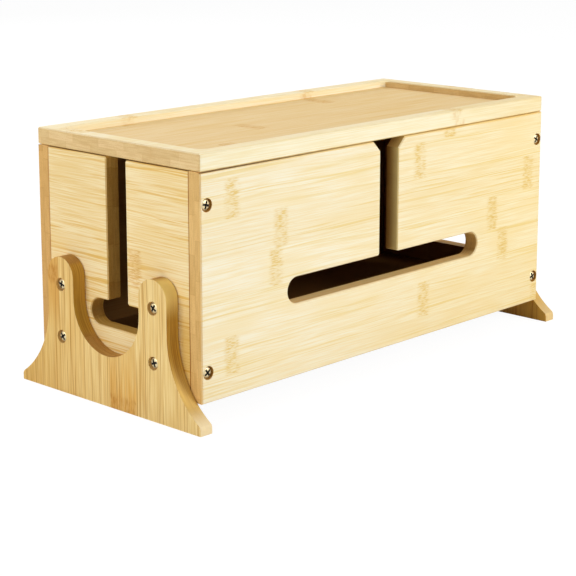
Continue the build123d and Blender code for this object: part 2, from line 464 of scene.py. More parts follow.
# %% The edges and the sawn ends
LAYER_FIBRE = Grain(45, 45, 0.75, shown=(0.35, 0.65), detail=2.0)
PORE = Grain(4, 0.8, 0.8, shown=(0.45, 0.72), strength=0.4)
DENSE_BAND = Grain(9, 14, 1.1, shown=(0.42, 0.66), strength=0.4)
LAYER_SEAM = (0.44, 0.49)  # of a layer's thickness from its middle, where the glue starts, and shows in full
BLOCK_SEAM = (0.482, 0.498)  # the same across a strip
GLUE_ON_EDGE = 0.5  # strength of the glue lines
GLUE_ON_END = 0.7  # the same, as a share of a block seam's
BLOCK_SEAM_STRENGTH = 0.6
KNUCKLE_ON_EDGE = 0.5


def layer_line(board):
    """1 on the glue line between two layers."""
    return board.step(off_middle((board.through / PLY).maths("FRACT")), *LAYER_SEAM)


def edge_colour(board, tones):
    """Fine lines beside the faces, and the glue lines between the layers."""
    colour = board.blend(board.marks(LAYER_FIBRE), tones["edge"], tones["edge_line"])
    return board.blend(layer_line(board) * GLUE_ON_EDGE, colour, tones["edge_line"])


def sawn_colour(board, tones):
    """Blocks, each a shade of its own, with their pores, their dense bands and the glue between them."""
    _, shade, within, _ = strips_by_chance(board, first_edge=11.0)
    colour = tones["end"]
    for grain in (PORE, DENSE_BAND):
        colour = board.blend(board.marks(grain) * grain.strength, colour, tones["end_pore"])
    colour = board.tint(1.0, colour, board.blend(shade, tones["end_shaded"], WHITE))
    seam = board.step(off_middle(within), *BLOCK_SEAM)
    glue = seam.maths("MAXIMUM", layer_line(board) * GLUE_ON_END)
    return board.blend(glue * BLOCK_SEAM_STRENGTH, colour, tones["end_pore"])


def bamboo(board, strips, tones, line=GOLDEN_LINE):
    """The whole board: the broad faces, the edges, over which the knuckles run on, and the sawn ends."""
    cane, height, marks = cane_colour(board, strips, tones, line)
    edge = board.blend(marks * KNUCKLE_ON_EDGE, edge_colour(board, tones), tones["knuckle"])
    colour = board.blend(board.broad_face, edge, cane)
    return board.blend(board.end_grain, colour, sawn_colour(board, tones)), height


print("on an edge a fibre shows", LAYER_FIBRE.through, "mm thick, on a sawn end a pore", PORE.through, "mm")

# %% [markdown]
# The lacquer could be a clear coat over the cane, as on a piano. On the real box it is thin and satin, so it
# is left to the surface itself: a low gloss and a roughness that only blurs. Sanded cane without lacquer is
# rougher still, and the milled tray lies between the two.

# %% Lacquer
LACQUER_GLOSS = 0.35  # a glossy varnish has 0.5
SATIN = 0.6
MILLED = 0.7
SANDED = 0.85
FULL_RELIEF = 0.2  # mm
RELIEF_FELT = 0.12  # share of it that is felt through the lacquer


def lacquered(board, colour, height, unlike=0.0, roughness=SANDED):
    """A thin satin lacquer with the fibres just felt in it, given that roughness as far as unlike says."""
    bump = board.node("Bump", {}, {"Strength": RELIEF_FELT, "Distance": FULL_RELIEF * MM, "Height": height})
    rough = between(SATIN, roughness, unlike)
    board.plug(
        board.shader,
        {"Base Color": colour, "Roughness": rough, "Normal": bump, "Specular IOR Level": LACQUER_GLOSS},
    )
    return board.material


print("roughness of the lacquer", SATIN, "and of sanded cane", SANDED)

# %% [markdown]
# ## The long panels
#
# The front and the back have their cane lying along the box. The strips could all be left to chance, as on
# the back. The front is what everyone sees, so its strips are read from a table: where each starts, where
# its knuckles fall and how dark it is. The tones go from the palest fibre to the knuckle, then to the edges
# and the sawn ends. The two shaded ones are stains, for the darkest strips.

# %% Strips and tones of the long panels
FRONT_STRIPS = [  # start above the floor, first knuckle, second knuckle, shade from 0, dark, to 1
    (17.0, -420, 198, 0.15),
    (33.5, -170.8, 43.7, 0.4),
    (61.8, -300, 148, 0.7),
    (90.1, -125.6, 133, 0.75),
    (118.4, -120.4, 182, 0.3),
    (146.7, -169.7, 37, 0.6),
    (175.0, -250, 74, 0.45),
]
LONG_TONES = {
    "pale": on_screen(254, 247, 224),
    "honey": on_screen(250, 232, 186),
    "amber": on_screen(243, 219, 147),
    "knuckle": on_screen(235, 203, 122),
    "shaded": (0.97, 0.93, 0.85, 1),
    "end_shaded": (0.86, 0.82, 0.74, 1),
    "edge": on_screen(255, 228, 166),
    "edge_line": on_screen(250, 206, 134),
    "end": on_screen(234, 194, 124),
    "end_pore": on_screen(206, 160, 88),
}
front_low, front_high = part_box("front_panel")
outer_face, inner_face = abs(front_low.y) / MM, abs(front_high.y) / MM
panel_foot, panel_top = front_low.z / MM, front_high.z / MM
print("inner faces of the long panels lie", inner_face, "mm from the middle, their tops", panel_top, "mm up")

# %% [markdown]
# Some marks on a panel are painted light and shade. The inside is bare bamboo, painted dark brown as painted
# shade deep down in the box and less dark near its open top. The counterbores of the screws are painted
# darker too, as painted shade. Each mark is a mask worked out from places, so it stays where it belongs when
# the board is turned.

# %% Bare bamboo and bores, with painted shade
# painted shade inside the box: dark deep down, lighter towards the open top
INSIDE_PAINTED_SHADE_DEEP = on_screen(130, 92, 40)
INSIDE_PAINTED_SHADE_RIM = on_screen(190, 150, 96)
SHADE_LIFTS = (120, 185)  # mm above the floor where the inside's painted shade starts to lift, and is at its lightest
# painted shade on the walls of the screws' counterbores
BORE_PAINTED_SHADE = on_screen(208, 186, 138)
BORE_RADIUS = 5.0
BORE_BORDER = 0.5


def bare_cane_painted_shade(board, share, colour):
    """Bamboo without lacquer, darkened as painted shade, as far as share says."""
    inside = board.blend(board.step(board.z, *SHADE_LIFTS), INSIDE_PAINTED_SHADE_DEEP, INSIDE_PAINTED_SHADE_RIM)
    return board.tint(share, colour, inside)


def screw_places(prefix):
    """Where the screws of a group stand, as centres in mm."""
    boxes = [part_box(name) for name in frame["nodes"] if name.startswith(prefix)]
    return [(low + high) / 2 / MM for low, high in boxes]


def in_bores(board, centres, first, second, sunk):
    """1 inside the counterbores, which the given centres place by two of their coordinates."""
    sides = {"X": board.x, "Y": board.y, "Z": board.z}
    total = 0.0
    for centre in centres:
        offsets = [sides[axis] - getattr(centre, axis.lower()) for axis in (first, second)]
        radius = (offsets[0] * offsets[0] + offsets[1] * offsets[1]).maths("SQRT")
        total = board.short_of(radius, BORE_RADIUS, BORE_BORDER) + total
    return total * sunk


print("counterbores to tell apart on the front:", len(screw_places("front_screw")))

# %% [markdown]
# The lid rests on the panels' top edges. The outermost millimetre or two of each top edge is painted dark,
# as painted shade of the narrow gap under the lid, darkest at the left end and fading to the right. Just
# below, a golden band is painted, as painted shade beside the gap. Both could be modelled as a thin strip.
# As two more masks they need no piece and can't come loose.

# %% Top edges
# painted shade of the gap under the lid: a dark line on the top edge and a golden band below it
GAP_PAINTED_SHADE = on_screen(104, 66, 12)
GAP_GOLDEN_SHADE = (0.96, 0.9, 0.7, 1)
GOLDEN_DEPTH = 0.8  # mm below the top where the golden line is at its full strength
GOLDEN_WIDTH = 1.7  # mm from the outer face
GOLDEN_BORDER = 0.6
GAP_SHADE_WIDTH = 1.4
GAP_SHADE_FADE = (60, -200)  # mm along the box where the painted shade starts, and is at its darkest
LEAST_GAP_SHADE = 0.05  # share of the darkest painted shade that lies everywhere
LONG_GAP_SHADE = 0.75  # mm that the painted shade reaches down at its darkest on a long panel
END_GAP_SHADE = 0.3


def paint_gap_shade(board, colour, outward, edge, shade_height):
    """Painted shade of the lid's gap: golden just below a panel's top edge and dark right on it, the more so
    the nearer to the left end.
    """
    golden_shade = board.past(board.z, panel_top - GOLDEN_DEPTH, GOLDEN_BORDER)
    golden_shade = golden_shade * board.past(outward, edge - GOLDEN_WIDTH, GOLDEN_BORDER)
    colour = board.tint(golden_shade, colour, GAP_GOLDEN_SHADE)
    gap_shade = between(LEAST_GAP_SHADE, 1, board.step(board.x, *GAP_SHADE_FADE))
    on_top = board.step(board.z, panel_top - SLACK - gap_shade * shade_height, panel_top - SLACK / 2)
    on_top = on_top * board.past(outward, edge - GAP_SHADE_WIDTH)
    return board.tint(on_top * gap_shade, colour, GAP_PAINTED_SHADE)


print("dirt reaches down by up to", LONG_GAP_SHADE, "mm on the front and", END_GAP_SHADE, "mm on the ends")

# %% [markdown]
# With the marks ready, a long panel is the bamboo, a drift to a more golden shade towards its right end, as
# cane has from one end to the other, and the marks laid over it. Where the ends of the end panels meet its
# inner face, the joint shows as a thin line, because nobody can sand two boards quite flush. The walls of
# the slit are painted amber at the outer face, as painted light, and brown inside, as painted shade. The
# back panel's sawn ends are painted browner than the front's, as painted shade.

# %% Front and back panels
JOINT_LINE = on_screen(206, 162, 108)
JOINT_WIDTH = 0.6
GOLDEN_DRIFT = (0.965, 0.905, 0.73, 1)
DRIFT_SPAN = (-160, 220)  # mm along the box where the drift starts, and is at its full strength
SLIT_PAINTED_SHADE = (0.36, 0.26, 0.12, 1)
SLIT_REACH = 29.0  # mm from the middle of the box, past the slit's chamfered mouth
# painted shade on the back panel's sawn ends
BACK_END_PAINTED_SHADE = (0.88, 0.8, 0.68, 1)
BORE_START = 0.6  # mm below a board's outer face


def long_panel(name, node, strips, outward, screws, seed, end_painted_shade=WHITE):
    """A panel along X. Past its inner face, towards the inside, the bamboo is bare and darkened as painted
    shade.
    """
    board = Board(name, node, seed, along="X", across="Z", through="Y")
    depth = board.y * outward
    colour, height = bamboo(board, strips(board), LONG_TONES)
    colour = board.tint(board.step(board.x, *DRIFT_SPAN), colour, GOLDEN_DRIFT)
    colour = board.tint(board.end_grain, colour, end_painted_shade)
    joint = board.short_of(depth, inner_face + SLACK, JOINT_WIDTH)
    colour = board.tint(joint * board.end_grain, colour, JOINT_LINE)
    # the slit's walls: painted light near the outer face, painted shade deeper in
    outer_share = board.step(depth, inner_face, outer_face)
    in_slit = board.end_grain * board.short_of(board.x.maths("ABSOLUTE"), SLIT_REACH, border=1.0)
    colour = board.blend(in_slit * outer_share, colour, LONG_TONES["amber"])
    colour = board.tint(in_slit * (1 - outer_share), colour, SLIT_PAINTED_SHADE)
    sunk = board.short_of(depth, outer_face - BORE_START)
    bores = in_bores(board, screw_places(screws), "X", "Z", sunk)
    # painted shade in the counterbores
    colour = board.tint(bores, colour, BORE_PAINTED_SHADE)
    colour = paint_gap_shade(board, colour, depth, outer_face, LONG_GAP_SHADE)
    bare_and_shaded = board.short_of(depth, inner_face + SLACK)
    return lacquered(board, bare_cane_painted_shade(board, bare_and_shaded, colour), height, bare_and_shaded)


front_bamboo = long_panel(
    "bamboo_front",
    "front_panel",
    lambda board: strips_by_table(board, FRONT_STRIPS, panel_foot, panel_top),
    outward=-1,
    screws="front_screw",
    seed=3,
)
back_bamboo = long_panel(
    "bamboo_back",
    "back_panel",
    lambda board: strips_by_chance(board, first_edge=10),
    outward=1,
    screws="back_screw",
    seed=11,
    end_painted_shade=BACK_END_PAINTED_SHADE,
)
print("nodes in the front panel's finish:", len(front_bamboo.node_tree.nodes))

# %% [markdown]
# ## The end panels
#
# The two end panels stand between the long ones, with their cane lying across the box. They were cut from a
# more figured board, with more and darker golden lines, shorter than on the front. So they get the same
# bamboo with tones and lines of their own, and not a second pattern. The narrow corners beside the feet are
# painted brown, as painted shade cast by the feet.

# %% Strips and tones of the end panels
CROSS_TONES = {
    "pale": on_screen(252, 234, 190),
    "honey": on_screen(242, 212, 146),
    "amber": on_screen(232, 189, 98),
    "knuckle": on_screen(220, 170, 84),
    "shaded": (0.95, 0.92, 0.84, 1),
    "end_shaded": (0.82, 0.76, 0.66, 1),
    "edge": on_screen(232, 190, 102),
    "edge_line": on_screen(208, 157, 68),
    "end": on_screen(216, 172, 86),
    "end_pore": on_screen(180, 132, 52),
}
END_STRIPS = [  # start above the floor, first knuckle, second knuckle, shade
    (17.0, -300, 300, 0.4),
    (33.5, -300, 60, 0.4),
    (61.8, -300, 250, 0.1),
    (90.1, -19, 250, 0.7),
    (118.4, -300, 300, 0.55),
    (146.7, -300, 300, 0.25),
    (175.0, -300, 300, 0.45),
]
end_low, end_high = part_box("right_end_panel")
end_outer, end_inner = end_high.x / MM, end_low.x / MM
print("outer faces of the end panels lie", end_outer, "mm from the middle")

# %% [markdown]
# The left and the right panel are mirror images, so one function makes both, and tells their sides by the
# distance from the middle of the box. The back half is painted darker, as painted shade, and the brown
# corners of painted shade are two masks multiplied: one for the sides of the panel and one for the height of
# the feet.

# %% End panels
CROSS_LINE = replace(GOLDEN_LINE, along=62, across=1.5, strength=0.95)
CROSS_BACK_SHADE = (0.965, 0.955, 0.93, 1)
CROSS_BACK_SHADE_SPAN = (-20, 40)  # mm from the middle towards the back
CORNER_PAINTED_SHADE = (0.8, 0.66, 0.36, 1)
CORNER_SIDES = (62, 70)  # mm from the middle where a corner starts to be brown, and is
CORNER_HEIGHT = (100, 60)  # the same above the floor


def end_panel(name, node, strips, seed):
    """A panel along Y, the same on both ends, so its sides are told by the distance from the middle."""
    board = Board(name, node, seed, along="Y", across="Z", through="X")
    depth, sideways = board.x.maths("ABSOLUTE"), board.y.maths("ABSOLUTE")
    colour, height = bamboo(board, strips(board), CROSS_TONES, CROSS_LINE)
    # painted shade: the back half of the panel is darker
    colour = board.tint(board.step(board.y, *CROSS_BACK_SHADE_SPAN), colour, CROSS_BACK_SHADE)
    # painted shade in the corners beside the feet
    beside_foot = board.step(sideways, *CORNER_SIDES) * board.step(board.z, *CORNER_HEIGHT)
    colour = board.tint(beside_foot, colour, CORNER_PAINTED_SHADE)
    colour = board.tint(board.past(sideways, inner_face - SLACK, JOINT_WIDTH), colour, JOINT_LINE)
    colour = paint_gap_shade(board, colour, depth, end_outer, END_GAP_SHADE)
    # the inner face: bare cane, darkened as painted shade
    bare_and_shaded = board.short_of(depth, end_inner + SLACK)
    return lacquered(board, bare_cane_painted_shade(board, bare_and_shaded, colour), height, bare_and_shaded)


left_end_bamboo = end_panel(
    "bamboo_left_end",
    "left_end_panel",
    lambda board: strips_by_table(board, END_STRIPS, panel_foot, panel_top),
    seed=21,
)
right_end_bamboo = end_panel(
    "bamboo_right_end", "right_end_panel", lambda board: strips_by_chance(board, first_edge=5), seed=33
)
print("nodes in the left end panel's finish:", len(left_end_bamboo.node_tree.nodes))

# %% [markdown]
# ## The lid
#
# The lid is two layers of strips glued flat, with a shallow tray milled into the upper one. The cutter laid
# open the middle of the cane there, which is softer, duller and browner than its skin on the rim.

# %% Strips and tones of the lid
LID_TONES = {
    "pale": on_screen(255, 243, 210),
    "honey": on_screen(248, 227, 174),
    "amber": on_screen(243, 216, 146),
    "knuckle": on_screen(229, 188, 104),
    "shaded": (0.97, 0.93, 0.85, 1),
    "end_shaded": (0.87, 0.83, 0.74, 1),
    "edge": on_screen(254, 245, 214),
    "edge_line": on_screen(249, 233, 186),
    "end": on_screen(235, 206, 151),
    "end_pore": on_screen(212, 171, 110),
}
LID_STRIPS = [  # start from the middle of the box, first knuckle, second knuckle, shade
    (-89.0, -300, 86, 0.8),
    (-72.6, -131, 240, 0.5),
    (-44.3, -330, 330, 0.6),
    (-16.0, -60, 200, 0.4),
    (12.3, -340, 340, 0.7),
    (40.6, -190, 81, 0.5),
    (68.9, -119, 85, 0.8),
]
tray_mount = next(mount for mount in frame["record"]["mounts"] if mount["name"] == "tray_floor")
tray_floor = tray_mount["pos_m"][2] / MM
print("the tray's floor lies", tray_floor, "mm up")

# %% [markdown]
# The tray could be told from the rim by its height alone, but then the lid's outer faces would be stained
# too, as they start lower than the tray does. So the stain is kept inside the rim on all four sides. The
# front rim turns golden towards its right end. The lid's lowest millimetre all round is painted golden, as
# painted shade beside the gap over the panels.

# %% Lid
TRAY_STAIN = (0.88, 0.755, 0.58, 1)
TRAY_END_STAIN = (0.86, 0.82, 0.7, 1)
TRAY_EDGE = 11.0  # mm from the lid's edge, a bit nearer than the tray, so that its walls are in it too
LID_DRIFT = (0.93, 0.865, 0.725, 1)
LID_DRIFT_SPAN = (20, 205)  # mm along the box
FRONT_RIM = (-60, -75)  # mm across the box, less than 0 towards the front
GOLDEN_RIM = 1.2  # mm above the lid's underside


def lid_bamboo(name, seed):
    """The lid: bamboo with a stained tray, a golden front rim and a golden lower edge, which is painted
    shade of the gap.
    """
    low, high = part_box("lid")
    board = Board(name, "lid", seed, along="X", across="Y", through="Z")
    strips = strips_by_table(board, LID_STRIPS, low.y / MM, high.y / MM)
    colour, height = bamboo(board, strips, LID_TONES)
    within = 1.0
    for place, edge in ((board.x, high.x), (board.y, high.y)):
        within = board.short_of(place.maths("ABSOLUTE"), edge / MM - TRAY_EDGE, border=1.0) * within
    in_tray = board.short_of(board.z, tray_floor + 2 * SLACK, border=0.2) * within
    colour = board.tint(in_tray, colour, TRAY_STAIN)
    colour = board.tint(board.end_grain * within, colour, TRAY_END_STAIN)
    golden = board.step(board.x, *LID_DRIFT_SPAN) * board.step(board.y, *FRONT_RIM)
    colour = board.tint(golden, colour, LID_DRIFT)
    # painted shade: the lid's lowest edge is tinted golden beside the gap over the panels
    lower_edge = board.short_of(board.z, low.z / MM + GOLDEN_RIM, GOLDEN_BORDER)
    colour = board.tint(lower_edge, colour, GAP_GOLDEN_SHADE)
    return lacquered(board, colour, height, in_tray, MILLED)


lid_finish = lid_bamboo("bamboo_lid", seed=5)
print("nodes in the lid's finish:", len(lid_finish.node_tree.nodes))

# %% [markdown]
# ## The feet
#
# Each foot is sawn from one board with its cane standing upright, so that the arms don't split along it.
# That board comes from an older part of the cane: deeper in colour, with closely set, well marked fibres.
# The sawn edges are darker still, partly as painted shade of the flanks, and the toes are painted pale, as
# painted light where they stand out into the light. The side that lies against the box never saw lacquer,
# and is painted dark as painted shade under the box.

# %% Strips and tones of the feet
FOOT_TONES = {
    "pale": on_screen(245, 218, 152),
    "honey": on_screen(227, 188, 110),
    "amber": on_screen(192, 138, 54),
    "knuckle": on_screen(198, 144, 58),
    "shaded": (0.93, 0.86, 0.72, 1),
    "end_shaded": (0.82, 0.76, 0.66, 1),
    # the sawn faces' tones are darker, partly as painted shade of the flanks and the cradle
    "edge": on_screen(210, 163, 62),
    "edge_line": on_screen(184, 130, 38),
    "end": on_screen(200, 152, 76),
    "end_pore": on_screen(168, 116, 48),
}
FOOT_STRIPS = [  # start from the middle of the box, first knuckle, second knuckle, shade
    (-99.0, -300, 300, 1.0),
    (-88.6, -300, 300, 1.0),
    (-60.3, -300, 300, 1.0),
    (-32.0, 4, 300, 0.1),
    (-3.7, -300, 300, 0.7),
    (24.6, -6, 300, 0.3),
    (52.9, 90, -300, 0.2),
    (81.2, -300, 300, 0.0),
]
print("strips across a foot:", len(FOOT_STRIPS))

# %% [markdown]
# Two strips of each foot were toasted darker by the kiln: one in the middle, near the floor, and one at the
# far shoulder. The sawn curves are painted paler at the top of the arms, down the legs and at the toes, as
# painted light where they turn up and out into the light. All of it is told by height and by the distance
# from the middle, so both feet share one function. The masks come in pairs of mm: where each starts, and
# where it is at its full strength.

# %% Painted light and toasting of the feet
# painted light on the sawn curves of the feet, and most at the toes
FOOT_PAINTED_LIGHT = on_screen(255, 222, 132)
ARM_LIT, ARM_LIGHT = (74, 96), 0.95  # above the floor, and strength
LEG_LIT, LEG_LIGHT = (52, 26), 0.36
OUTER_CURVES = (50, 58)  # from the middle
TOE_PAINTED_LIGHT = on_screen(255, 236, 194)
TOE_START = 84
FOOT_TOASTED = (0.93, 0.77, 0.48, 1)
TOASTED_STREAK = Grain(40, 2.6, shown=(0.3, 0.6), detail=2.0)
HEART_HEIGHT = (58, 8)
SHOULDER_HEIGHT, SHOULDER_STRENGTH = (46, 78), 0.7
STRIP_BORDER = 0.4  # mm over which one strip goes over into the next


def lit_curves(board, colour, toe_tip, rubbed):
    """Painted light on the sawn edges: paler on top of the arms, down the legs and most of all at the toes.
    """
    sawn = 1 - board.broad_face
    sideways = board.y.maths("ABSOLUTE")
    lit = board.step(board.z, *ARM_LIT) * ARM_LIGHT + board.step(board.z, *LEG_LIT) * LEG_LIGHT
    colour = board.blend(lit * board.step(sideways, *OUTER_CURVES) * sawn, colour, FOOT_PAINTED_LIGHT)
    return board.blend(board.step(sideways, TOE_START, toe_tip) * sawn * rubbed, colour, TOE_PAINTED_LIGHT)


def toasted_strips(board):
    """How far a point lies in one of the two toasted strips."""
    heart_start, heart_end, shoulder_start = (FOOT_STRIPS[number][0] for number in (3, 4, 6))
    half = STRIP_BORDER / 2
    in_heart = board.past(board.y, heart_start + half, STRIP_BORDER)
    in_heart = in_heart * board.short_of(board.y, heart_end - half, STRIP_BORDER)
    streaks = board.marks(TOASTED_STREAK, board.x / THROUGH_GRAIN)
    heart = in_heart * board.step(board.z, *HEART_HEIGHT) * streaks
    in_shoulder = board.past(board.y, shoulder_start + half, STRIP_BORDER)
    shoulder = in_shoulder * board.step(board.z, *SHOULDER_HEIGHT)
    return heart.maths("MAXIMUM", shoulder * SHOULDER_STRENGTH)


print("arms worn from", ARM_LIT[0], "mm up, toes rubbed from", TOE_START, "mm out")

# %% [markdown]
# A foot is then the bamboo with its painted light, its toasted strips and a drift to a deeper shade towards
# the back. Its inner side is bare and painted dark, as painted shade under the box, and the counterbores of
# its four screws are painted paler than its lacquer, as painted light in the counterbores.

# %% Feet
FOOT_LINE = replace(GOLDEN_LINE, along=100, strength=0.85)
FOOT_DRIFT = (0.92, 0.87, 0.72, 1)
FOOT_DRIFT_SPAN = (25, 95)  # mm from the middle towards the back
FOOT_INNER_PAINTED_SHADE = (0.72, 0.54, 0.18, 1)
# painted light: the counterbores of a foot are paler
FOOT_BORE_PAINTED_LIGHT, BORE_STRENGTH = on_screen(252, 226, 166), 0.3


def foot_bamboo(name, node, seed, rubbed):
    """A foot: bamboo with its painted light and its toasted strips. The last argument says how pale its toes
    are painted.
    """
    low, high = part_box(node)
    board = Board(name, node, seed, along="Z", across="Y", through="X")
    strips = strips_by_table(board, FOOT_STRIPS, low.y / MM, high.y / MM)
    colour, height = bamboo(board, strips, FOOT_TONES, FOOT_LINE)
    colour = lit_curves(board, colour, high.y / MM, rubbed)
    colour = board.tint(toasted_strips(board), colour, FOOT_TOASTED)
    colour = board.tint(board.step(board.y, *FOOT_DRIFT_SPAN), colour, FOOT_DRIFT)
    depth = board.x.maths("ABSOLUTE")
    # painted shade on the inner side, against the box
    colour = board.tint(board.short_of(depth, end_outer + 2 * SLACK), colour, FOOT_INNER_PAINTED_SHADE)
    face = max(abs(low.x), abs(high.x)) / MM
    sunk = board.short_of(depth, face - BORE_START)
    bores = in_bores(board, screw_places(node + "_screw"), "Y", "Z", sunk)
    return lacquered(board, board.blend(bores * BORE_STRENGTH, colour, FOOT_BORE_PAINTED_LIGHT), height)


left_foot_bamboo = foot_bamboo("bamboo_left_foot", "left_foot", seed=8, rubbed=0.7)
right_foot_bamboo = foot_bamboo("bamboo_right_foot", "right_foot", seed=17, rubbed=0.3)
print("nodes in the left foot's finish:", len(left_foot_bamboo.node_tree.nodes))

# %% [markdown]
# ## Inside the box
#
# Nobody lacquers what nobody sees. The bottom board and the blocks that keep the lid in place are only
# sanded, and their colour is darkened as painted shade, as inside the panels. They could share one finish,
# but chance places their strips by a seed, so each gets a finish of its own.


# %% Inside boards
def inside_bamboo(name, node, seed):
    """A board that is sanded, has no lacquer and is darkened as painted shade."""
    board = Board(name, node, seed, along="X", across="Y", through="Z")
    colour, height = bamboo(board, strips_by_chance(board, first_edge=9), LONG_TONES)
    return lacquered(board, bare_cane_painted_shade(board, 1.0, colour), height, unlike=1.0)


inside_finishes = {"bottom_panel": inside_bamboo("bamboo_bottom", "bottom_panel", seed=2)}
for number in range(1, 5):
    node = f"lid_block_{number}"
    inside_finishes[node] = inside_bamboo(f"bamboo_block_{number}", node, seed=50 + number)
print("boards that are only sanded:", len(inside_finishes))

# %% [markdown]
# A board of the frame comes with a plain material. It is taken off and the board's own finish put on. The
# mesh of the board is left as it is.

# %% Give each board its finish
finishes = {
    "front_panel": front_bamboo,
    "back_panel": back_bamboo,
    "left_end_panel": left_end_bamboo,
    "right_end_panel": right_end_bamboo,
    "lid": lid_finish,
    "left_foot": left_foot_bamboo,
    "right_foot": right_foot_bamboo,
    **inside_finishes,
}
for node, material in finishes.items():
    board_materials = frame["nodes"][node].data.materials
    board_materials.clear()
    board_materials.append(material)
print("boards with a finish of their own:", len(finishes))

# %% [markdown]
# ## Screws
#
# A cross-head wood screw has a domed pan head, a tapered cross recess, a plain core and a thread that winds
# round it. Its head could be a Screw or a Spin of one outline. Here it is raised from a disc by extruding
# and scaling, the way a head is pressed in steps, the recess is cut by two tapered bars with a Boolean, and
# the Screw modifier winds a small triangle into the thread. The steel is plated with zinc, which is never
# quite even, so a fine noise mottles its colour and its gloss. Its colour is warm, partly as a painted
# reflection of the bamboo round it.

# %% Steel
# warm zinc, partly a painted reflection of the surrounding bamboo
ZINC_DULL_WITH_REFLECTED_CANE = on_screen(202, 186, 144)
ZINC_BRIGHT_WITH_REFLECTED_CANE = on_screen(224, 208, 168)
MOTTLE = 900.0  # grains in a metre
MOTTLE_SHOWN = (0.2, 0.8)
ZINC_ROUGHNESS = (0.45, 0.55)
RECESS_PAINTED_SHADE = on_screen(30, 22, 14)

steel = Finish("zinc_plated_steel")
mottle = steel.node("TexNoise", {}, {"Vector": steel.node("TexCoord").other("Object"), "Scale": MOTTLE})
steel.plug(
    steel.shader,
    {
        "Base Color": steel.blend(mottle, ZINC_DULL_WITH_REFLECTED_CANE, ZINC_BRIGHT_WITH_REFLECTED_CANE),
        "Metallic": 1.0,
        "Roughness": between(*ZINC_ROUGHNESS, steel.step(mottle, *MOTTLE_SHOWN)),
    },
)
# painted shade: the walls of the cross recess are near black
recess_shade = Finish("recess_painted_shade")
recess_shade.plug(recess_shade.shader, {"Base Color": RECESS_PAINTED_SHADE, "Roughness": 0.8})
print("nodes in the steel:", len(steel.tree.nodes))

# %% [markdown]
# The steps below are the ones a hand would do: pick a face, extrude it, and scale it about a point. An
# extrusion and a scaling come so often together that they share a small function. Sizes are a real 4 mm wood
# screw's.

# %% Pick, extrude and narrow
STRAIGHT_DOWN = -0.9  # upward share of a face's normal, below which it looks straight down


def edit():
    """Goes into edit mode, where faces are picked."""
    bpy.ops.object.mode_set(mode="EDIT")
    bpy.ops.mesh.select_mode(type="FACE")


def raise_ring(rise, factor, height):
    """Extrudes what is selected up or down and narrows it, all in one step of the tool."""
    bpy.ops.mesh.extrude_region_move(TRANSFORM_OT_translate={"value": (0, 0, rise)})
    bpy.ops.transform.resize(value=(factor, factor, 1), center_override=(0, 0, height))


def pick_faces_below(piece):
    """Leaves edit mode with nothing picked, picks the faces that look straight down and goes back in."""
    bpy.ops.mesh.select_all(action="DESELECT")
    bpy.ops.object.mode_set(mode="OBJECT")
    for face in piece.data.polygons:
        face.select = face.normal.z < STRAIGHT_DOWN
    edit()


print("mode before the modelling:", bpy.context.mode)

# %% [markdown]
# The cross recess narrows towards its bottom, so that the screwdriver centres itself and is not stuck. Each
# of its two bars is a block whose lower face is scaled down. A Boolean takes it out of the head and leaves
# its dark material on the walls of the recess, as painted shade in the recess.

# %% The cross recess
HEAD_HEIGHT = 2.6
RECESS_SPAN = 6.9
RECESS_WIDTH = 1.7
RECESS_DEPTH = 1.9
SPARE = 0.2  # mm that a bar stands out of the head, for a clean cut
BOTTOM_SHARE = (0.4, 0.75, 1)  # length and width of the recess at its bottom, as shares of its mouth's


def recess_bar(turn):
    """A bar of the cross, narrower at its lower face."""
    middle = HEAD_HEIGHT + SPARE - (RECESS_DEPTH + SPARE) / 2
    bpy.ops.mesh.primitive_cube_add(size=1, location=(0, 0, middle * MM))
    bar = bpy.context.object
    bar.data.materials.append(recess_shade.material)
    bar.dimensions = (RECESS_SPAN * MM, RECESS_WIDTH * MM, (RECESS_DEPTH + SPARE) * MM)
    bpy.ops.object.transform_apply(location=True, rotation=False, scale=True)
    edit()
    pick_faces_below(bar)
    bpy.ops.transform.resize(value=BOTTOM_SHARE, center_override=(0, 0, 0))
    bpy.ops.object.mode_set(mode="OBJECT")
    bar.rotation_euler.z = turn
    bpy.ops.object.transform_apply(location=False, rotation=True, scale=False)
    return bar


def cut_cross(head):
    """Takes the two bars out of the head, one after the other."""
    for turn in (0, math.radians(90)):
        bar = recess_bar(turn)
        cut = head.modifiers.new("cross recess", "BOOLEAN")
        cut.object, cut.operation, cut.material_mode = bar, "DIFFERENCE", "TRANSFER"
        bpy.context.view_layer.objects.active = head
        bpy.ops.object.modifier_apply(modifier=cut.name)
        bpy.data.objects.remove(bar)


print("cross recess", RECESS_SPAN, "mm across and", RECESS_DEPTH, "mm deep")

# %% [markdown]
# A thread is one profile carried round and down at the same time. A Spin in edit mode could wind it, but the
# Screw modifier takes the pitch and the turns as they stand on a maker's drawing. The profile is a triangle
# with a corner outwards. Its inner edge lies a little inside the core, so that no gap shows between the two,
# and both ends of the ridge are closed.

# %% The thread
CORE_RADIUS = 1.35
POINT_LENGTH = 3.5
THREAD_PITCH = 1.8
THREAD_RADIUS = 2.0
THREAD_STEPS = 12  # in one turn
SUNK_IN_CORE = 1.25  # how much deeper the triangle is than the thread


